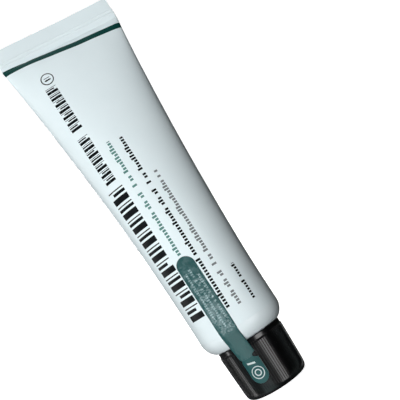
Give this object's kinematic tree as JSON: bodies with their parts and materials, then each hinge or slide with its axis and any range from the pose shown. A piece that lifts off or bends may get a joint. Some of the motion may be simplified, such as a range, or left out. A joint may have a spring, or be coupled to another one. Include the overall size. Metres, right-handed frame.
{
  "type": "shaving cream tube",
  "caption": "Squeeze tube with a flat crimped end, rounded shoulder and threaded neck, standing on a ribbed screw cap sealed with a tamper sticker.",
  "frame": {"origin": "centre of the cap's closed end face, on which the tube stands", "axes": "+Z along the tube's axis, from the cap to the crimp; -Y is the way the printed face looks; X runs along the flat crimp"},
  "size_m": [0.0502, 0.032, 0.1597],
  "materials": {
    "sleeve_white": "satin, cool white, printed",
    "head_white": "satin, cool white",
    "balm": "wet cream",
    "foil": "bright foil",
    "cap_black": "satin black",
    "insert_black": "plain moulded",
    "liner_foam": "fine foam",
    "sticker_green": "semi-gloss film"
  },
  "bodies": {
    "cap": {"cap_shell": "cap_black", "cap_insert": "insert_black", "cap_liner": "liner_foam", "seal_tab": "sticker_green"},
    "neck_seal": {"orifice_foil": "foil"},
    "tube": {"tube_sleeve": "sleeve_white", "tube_head": "head_white", "balm_fill": "balm", "seal_strip": "sticker_green"}
  },
  "joints": [
    {"name": "unscrew_lift", "type": "slide", "parent": "cap", "child": "neck_seal", "axis": [0, 0, 1], "range_m": [0, 0.0135]},
    {"name": "unscrew_turn", "type": "hinge", "parent": "neck_seal", "child": "tube", "pos_m": [0, 0, 0], "axis": [0, 0, 1], "range_deg": [0, 1621]}
  ],
  "couplings": [
    {"joint": "unscrew_turn", "follows": "unscrew_lift", "rad_per_m": 2094.4}
  ]
}
